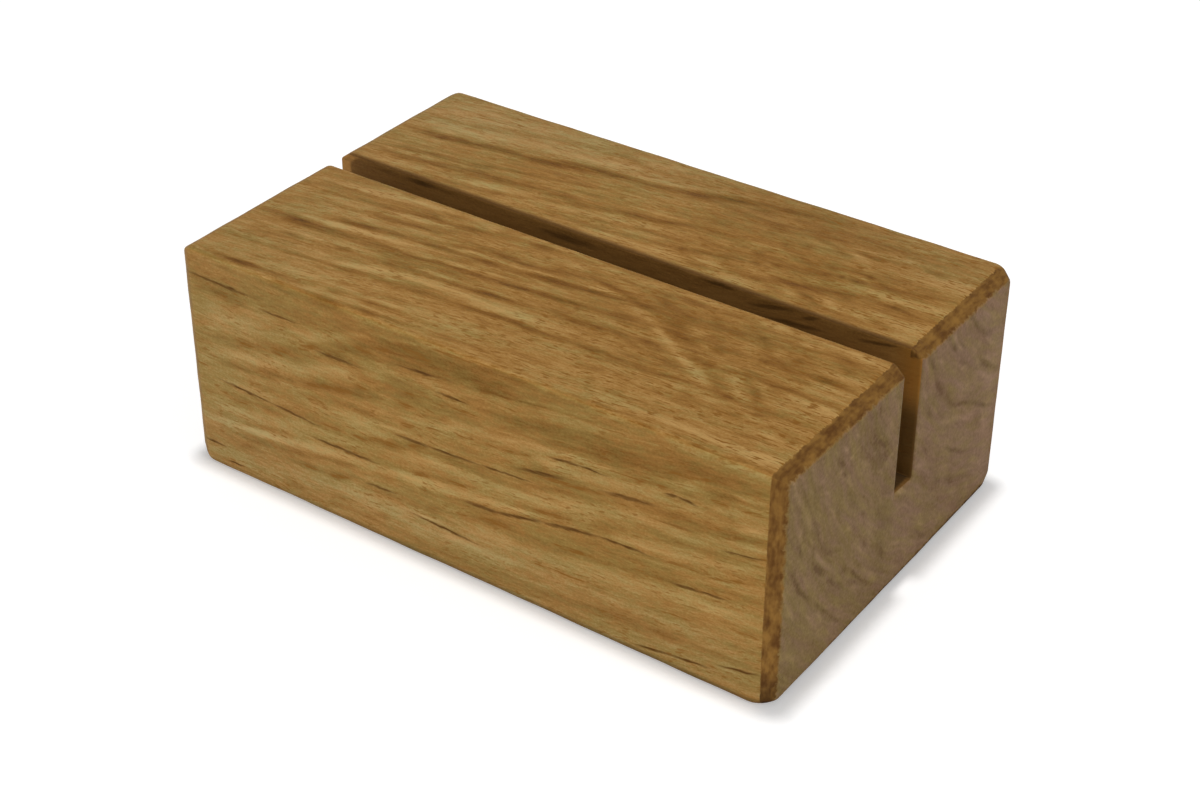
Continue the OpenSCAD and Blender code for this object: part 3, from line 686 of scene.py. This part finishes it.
class Oak(Nodes):
    """The oak's node tree, with signals that say where on the block and where in the log a point lies."""

    def __init__(self, tree):
        super().__init__(tree)
        source = self.add("ShaderNodeTexCoord")
        self.x, self.y, self.z = (metres * MM_PER_METRE for metres in self.parts(source.outputs["Object"]))
        self.nx, self.ny, self.nz = self.parts(source.outputs["Normal"])
        self.lying = (abs(self.nz) - abs(self.ny)).over(-0.02, 0.02)
        self.face_seed = self.lying * 37.0
        self.find_rings()
        self.find_surfaces()
        self.find_fibres()
        self.find_marks()
        self.blotch, self.grit = self.speckle(2.5), self.speckle(0.45, 2.0, 0.7)

    def by_face(self, front, top):
        """One number on the front and the back, and another on the top and the base."""
        return self.lying.over(0.0, 1.0, front, top)

    def speckle(self, size, detail=1.0, roughness=0.5):
        """Noise with no direction."""
        return self.noise(self.x / size, self.y / size, self.z / size, detail, roughness)

    def grain(self, across, length, width, seed, detail=1.0, roughness=0.5):
        """Noise drawn out along X, on each face another."""
        return self.noise(self.x / length, across / width, self.face_seed + seed, detail, roughness)

    def along_rings(self, width, length):
        """Noise drawn out along the growth rings."""
        return self.noise(self.radius / width, self.dy / length, self.dz / length, 2.0, 0.6)

    def find_rings(self):
        """The way from the pith, and the tone of the growth ring there."""
        to_far_end = (HALF_LENGTH - self.x) / (2 * HALF_LENGTH)
        pith_y, pith_z = (
            to_far_end * (to_far_end * bend + slope) + start for start, slope, bend in (PITH_Y, PITH_Z)
        )
        self.dy, self.dz = self.y - pith_y, self.z - pith_z
        square = self.dy * self.dy + self.dy * self.dz * RING_SKEW + self.dz * self.dz * RING_HEIGHT
        drift = self.noise(self.x / 16.0, self.y / 5.0, self.z / 5.0, 1.0) - 0.5
        self.radius = square.root() + drift * 2.2
        self.ring = self.curve(self.radius, RING_TONES)

    def find_surfaces(self):
        """Where the bevels, the end grain and the walls of the slot are. The bevels are fainter at the far end."""
        ragged = (self.speckle(0.8, 2.0, 0.6) - 0.5) * 0.9
        outline = (abs(self.y) - HALF_WIDTH).most(abs(self.z - MID_HEIGHT) - MID_HEIGHT)
        rim = (outline + ragged).over(-1.3, -0.95)
        strength = self.x.over(-1.0, 1.0, 0.35, 1.0)
        self.bevel = (abs(self.x) + ragged * self.by_face(0.2, 0.8)).over(38.38, 38.52) * rim * strength
        self.end_grain = abs(self.nx).over(0.45, 0.75) * (1.0 - rim)
        past_wall = abs(self.y - (SLOT_MIDDLE + 0.1)) - (SLOT_HALF + 0.1)
        self.in_slot = past_wall.over(0.12, -0.02) * self.z.over(SLOT_FLOOR - 0.3, SLOT_FLOOR)

    def find_fibres(self):
        """Fibres run along X. They follow the pith on the top, and climb towards the right on the front."""
        from_far_end = self.x + HALF_LENGTH
        straight = (self.z - from_far_end * from_far_end * 0.0008).toward(self.dy, self.lying)
        sway = self.grain(straight, 7.0, 2.4, 3.0) - 0.5
        self.fibre = straight + sway * 0.8
        self.streak = self.grain(self.fibre, 9.0, 0.9, 7.0, 1.0, 0.6)
        self.fine = self.grain(self.fibre, 2.4, 0.38, 13.0, 1.0, 0.6)
        self.dashes = self.grain(self.fibre, 1.4, 0.26, 11.0).over(self.by_face(0.58, 0.54), 0.66)

    def find_marks(self):
        """The marks that the photograph shows on the front, the top and in the slot, turned round on the far sides."""
        away = self.ny.over(-0.2, 0.2).toward(self.nz.over(0.2, -0.2), self.lying)
        sheet_x = (self.x * (1.0 - away * 2.0) + (HALF_LENGTH + SHEET_MARGIN)) * SHEET_PARTS
        drop = self.in_slot * (SLOT_DROP - FRONT_DROP) + FRONT_DROP
        front_y = (HEIGHT + SHEET_MARGIN - self.z) * SHEET_PARTS + drop
        top_y = (HALF_WIDTH + SHEET_MARGIN - self.y) * SHEET_PARTS
        wobble = self.noise(self.x / 1.7, self.y / 0.8, self.z / 0.8, 1.0) - 0.5
        fray = self.grain(self.fibre, 1.2, 0.22, 61.0, 0.0) - 0.5
        sheet_y = front_y.toward(top_y, self.lying) + wobble * 5.0 + fray * 5.0 - 2.0
        point = self.vector(sheet_x, sheet_y, 0.0)
        front_rays, slot_rays = self.marks(point, FRONT_RAYS, FRONT_DROP), self.marks(point, SLOT_RAYS, SLOT_DROP)
        self.rays = front_rays.most(slot_rays).over(0.0, 0.75)
        self.pores = self.marks(point, FRONT_PORES, FRONT_DROP).over(0.0, 0.45)
        self.change = self.figure(point, TOP_FIGURE) + self.figure(point, FRONT_FIGURE, FRONT_DROP)

    def side_tone(self):
        """Tone of the wood along its fibres: about 0 where it is dark and 1 where it is light."""
        broad = (self.grain(self.fibre, 14.0, 2.2, 5.0) - 0.5) * 0.35
        grains = broad + (self.streak - 0.5) * 0.55 + (self.fine - 0.5) * 0.75
        tone = self.ring * 0.10 + grains * self.by_face(0.75, 1.0)
        fleck = self.grain(self.fibre, 0.35, 0.2, 23.0, 1.0, 0.7)
        return tone + fleck * 0.6 + self.change * self.by_face(1.1, 1.25) + 0.155

    def side_colour(self, tone):
        """The wood along its fibres, with warmer and greyer places, pores and rays."""
        x, y, z, lying = self.x, self.y, self.z, self.lying
        colour = self.ramp(tone, [(-0.4, UMBER), (0.0, BROWN), (0.5, TAN), (1.0, PALE)])
        speckled = self.grain(self.fibre, 2.2, 0.8, 29.0, 2.0, 0.7)
        glow = self.grain(self.fibre, 10.0, 3.0, 53.0)
        nearer = lying * (x.over(-40.0, 10.0) * 0.05 + y.over(18.0, 2.0) * 0.05)
        warmth = speckled * 0.8 + glow * 0.6 - 0.2 + nearer
        colour = self.tinted(colour, self.blend(warmth.over(0.3, 0.7), COOL_TINT, WARM_TINT))
        # Greyer towards the far end, low on the front and at the back of the top
        low_or_back = z.over(11.0, 3.0).toward(y.over(12.0, 22.0), lying)
        greyness = (x.over(-10.0, -38.0) * 0.7 + low_or_back) * 0.75
        colour = self.tinted(colour, self.blend(greyness, WHITE, GREY_TINT))

        patches = self.grain(self.fibre, 6.0, 3.0, 17.0) + lying * x.over(-30.0, 10.0) * 0.12
        dashed = self.dashes * patches.over(0.42, 0.60) * (lying * x.over(-10.0, 20.0) * 0.25 + 0.7)
        hairs = self.grain(self.fibre, 1.5, 0.17, 41.0, 0.0).over(0.38, 0.58, 0.3, 1.0)
        colour = self.blend(dashed, colour, RUST)
        colour = self.blend(self.pores * hairs * 0.9, colour, RUST)
        return self.blend(self.rays * self.fine.over(0.35, 0.6, 1.0, 0.75), colour, UMBER)

    def slot_colour(self, tone):
        """The slot's walls: dark from the saw and from painted shade, pores nearly black, painted light below the
        mouth.
        """
        colour = self.blend(tone.over(0.1, 0.7, smooth=False), KERF_DARK, KERF_LIGHT)
        # Painted light makes the walls lighter deeper below the mouth.
        painted_light_below_mouth = self.z.over(HEIGHT - 0.4, HEIGHT - 3.0, smooth=False)
        # Painted light high on the walls at the +X exit, and painted shade lower down at both exits.
        exit_painted_light = self.x.over(36.0, 39.0) * self.z.over(18.5, 25.5)
        exit_painted_shade = abs(self.x).over(36.5, 38.5) * self.z.over(24.5, 20.0)
        # Painted shade on the slot's floor, except close to the exits.
        shaded_flat_floor = self.nz.over(0.5, 0.9) * abs(self.x).over(39.6, 39.2)
        floor = shaded_flat_floor * self.z.over(SLOT_FLOOR + 1.0, SLOT_FLOOR + 0.3)
        for share, paint in (
            (painted_light_below_mouth * 0.5, KERF_PAINTED_LIGHT),
            (self.rays * 0.5, KERF_PORE),
            (exit_painted_light * 0.8, EXIT_PAINTED_LIGHT),
            (exit_painted_shade * 0.9, EXIT_PAINTED_SHADE),
            (floor * 0.9, KERF_FLOOR_SHADE),
        ):
            colour = self.blend(share, colour, paint)
        return colour

    def end_colour(self):
        """The end grain, with bands of olive and pinkish grey along its rings."""
        sheet_x = (self.y + (HALF_WIDTH + SHEET_MARGIN)) * END_SHEET_PARTS
        sheet_y = (HEIGHT + SHEET_MARGIN - self.z) * END_SHEET_PARTS
        change = self.figure(self.vector(sheet_x, sheet_y, 0.0), END_FIGURE)
        tone = self.ring * 0.14 + self.along_rings(0.6, 3.0) * 0.6 + self.blotch * 0.3 + self.grit * 1.1
        tone = tone - 0.65 + change * 2.5
        colour = self.blend(tone.over(-0.1, 1.0, smooth=False), END_DARK, END_LIGHT)
        pinkness = (self.y + HALF_WIDTH) * 0.010 + self.along_rings(1.3, 5.0) * 2.8 - 1.15
        return self.tinted(colour, self.blend(pinkness.over(0.0, 1.0, smooth=False), OLIVE_CAST, PINK_CAST))

    def bevel_colour(self):
        """The bevels' rough grain, mottled along them, with painted shade near the base and on those facing up or
        down.
        """
        along = self.z.toward(self.y, self.lying)
        hair = self.grain(along, 0.3, 0.9, 71.0)
        mottle = self.grain(along, 0.9, 2.6, 73.0, 1.0, 0.6)
        tone = hair * 0.5 + self.blotch * 0.2 + mottle * 0.8 - 0.27
        # Painted shade: darker near the base, and a little darker on the bevels that face up or down.
        shade = (self.lying * 0.12).most(self.z.over(5.5, 1.0) * 0.45)
        return self.blend(shade, self.blend(tone.over(0.2, 0.8), BEVEL_DARK, BEVEL_LIGHT), BLACK)

    def colour(self):
        """The oak's colour all over the block."""
        tone = self.side_tone()
        # Painted shade makes the slot's far lip dark, and the line along the foot too, most of all towards +X.
        lip_shade = self.y.over(4.15, 3.35) * self.y.over(1.6, 1.7) * self.z.over(28.85, 29.08)
        foot_shade = self.z.over(1.05, 0.5) * self.x.over(-35.0, 5.0, 0.15, 0.42)
        colour = self.side_colour(tone)
        for share, paint in (
            (self.in_slot * 0.9, self.slot_colour(tone)),
            (lip_shade * 0.75, LIP_SHADE),
            (self.bevel, self.bevel_colour()),
            (self.end_grain, self.end_colour()),
            (foot_shade, BLACK),
        ):
            colour = self.blend(share, colour, paint)
        return colour


def make_oak():
    """The oak's material: a thin satin oil over grain that shows in colour, gloss and relief."""
    material = bpy.data.materials.new("oak_dressed")
    material.use_nodes = True
    material.node_tree.nodes.clear()
    oak = Oak(material.node_tree)
    roughness = oak.streak.over(0.2, 0.8, 0.55, 0.68, smooth=False)
    relief = oak.fine * 0.4 - oak.dashes * 0.4 - oak.rays * 0.6 + oak.grit * oak.end_grain * 0.5
    bump = oak.add("ShaderNodeBump", {"Height": relief})
    bump.inputs["Strength"].default_value = 0.35
    bump.inputs["Distance"].default_value = 0.12 * MM
    surface = {"Base Color": oak.colour(), "Roughness": roughness, "Normal": bump.outputs[0]}
    shader = oak.add("ShaderNodeBsdfPrincipled", surface)
    shader.inputs["IOR"].default_value = 1.45
    shader.inputs["Specular IOR Level"].default_value = 0.1
    oak.add("ShaderNodeOutputMaterial", {"Surface": shader.outputs[0]})
    return material


# ---------------------------------------------------------------- stage

# Lamps: name, place, size of the square, and power in watts
LAMPS = [
    ("overhead", (-0.014, 0.008, 0.90), 0.07, 4.1),
    ("front", (-0.45, -1.12, 0.07), 0.1, 5.6),
    ("high right", (0.40, -0.75, 0.60), 0.3, 1.3),
    ("side", (1.20, 0.10, 0.25), 0.6, 4.1),
]
LAMP_TARGET = (0, 0, 0.015)

FLOOR_SIZE = 6.0
FLOOR_COLOUR = (0.88, 0.88, 0.88, 1)
FLOOR_GLOW = 0.26
WORLD_LIGHT = 0.3

SENSOR_WIDTH = 36.0
CAMERA_LENS = 65.757
CAMERA_SHIFT_Y = -0.05875
CAMERA_PLACE = (0.122578, -0.174985, 0.151339)
CAMERA_TURN = (58.289, -0.239, 34.914)


def ray_kind(nodes, *names):
    """1 for rays of one of these kinds."""
    path = nodes.add("ShaderNodeLightPath")
    kind = Signal(nodes, path.outputs[names[0]])
    for name in names[1:]:
        kind = kind.most(Signal(nodes, path.outputs[name]))
    return kind


def make_floor():
    """A pale floor, raised to white where the camera sees it without a shadow."""
    bpy.ops.mesh.primitive_plane_add(size=FLOOR_SIZE, location=(0, 0, 0))
    floor = bpy.context.object
    floor.name = "floor"
    material = bpy.data.materials.new("floor")
    material.use_nodes = True
    material.node_tree.nodes.clear()
    nodes = Nodes(material.node_tree)
    diffuse = nodes.add("ShaderNodeBsdfDiffuse", {"Color": FLOOR_COLOUR})
    glow = nodes.add("ShaderNodeEmission", {"Strength": ray_kind(nodes, "Is Camera Ray") * FLOOR_GLOW})
    both = nodes.add("ShaderNodeAddShader", {0: diffuse.outputs[0], 1: glow.outputs[0]})
    nodes.add("ShaderNodeOutputMaterial", {"Surface": both.outputs[0]})
    floor.data.materials.append(material)


def make_world():
    """A white world, dimmed where it lights the block instead of being seen."""
    world = bpy.data.worlds.new("studio")
    bpy.context.scene.world = world
    world.use_nodes = True
    world.node_tree.nodes.clear()
    nodes = Nodes(world.node_tree)
    seen = ray_kind(nodes, "Is Camera Ray", "Is Glossy Ray", "Is Transmission Ray")
    background = nodes.add(
        "ShaderNodeBackground", {"Color": (*WHITE, 1), "Strength": seen.over(0.0, 1.0, WORLD_LIGHT, 1.0, smooth=False)}
    )
    nodes.add("ShaderNodeOutputWorld", {"Surface": background.outputs[0]})


def make_lamp(name, spot, size, watts):
    """A square lamp that points at the block."""
    light = bpy.data.lights.new(name, "AREA")
    light.shape = "SQUARE"
    light.size = size
    light.energy = watts
    lamp = bpy.data.objects.new(name, light)
    bpy.context.scene.collection.objects.link(lamp)
    lamp.location = spot
    lamp.rotation_euler = (Vector(LAMP_TARGET) - Vector(spot)).to_track_quat("-Z", "Y").to_euler()


def make_camera():
    """The camera of the photograph, as fitted to the block's corners and edges."""
    camera = bpy.data.cameras.new("camera")
    camera.sensor_width = SENSOR_WIDTH
    camera.lens = CAMERA_LENS
    camera.shift_y = CAMERA_SHIFT_Y
    camera.clip_start = 0.01
    seat = bpy.data.objects.new("camera", camera)
    bpy.context.scene.collection.objects.link(seat)
    seat.location = CAMERA_PLACE
    seat.rotation_euler = Euler(np.radians(CAMERA_TURN))
    bpy.context.scene.camera = seat


make_camera()
block = make_block()
block.data.materials.append(make_oak())
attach(block, "root")
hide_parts("oak_block")
make_floor()
make_world()
for lamp in LAMPS:
    make_lamp(*lamp)
bpy.context.scene.view_settings.view_transform = "Standard"
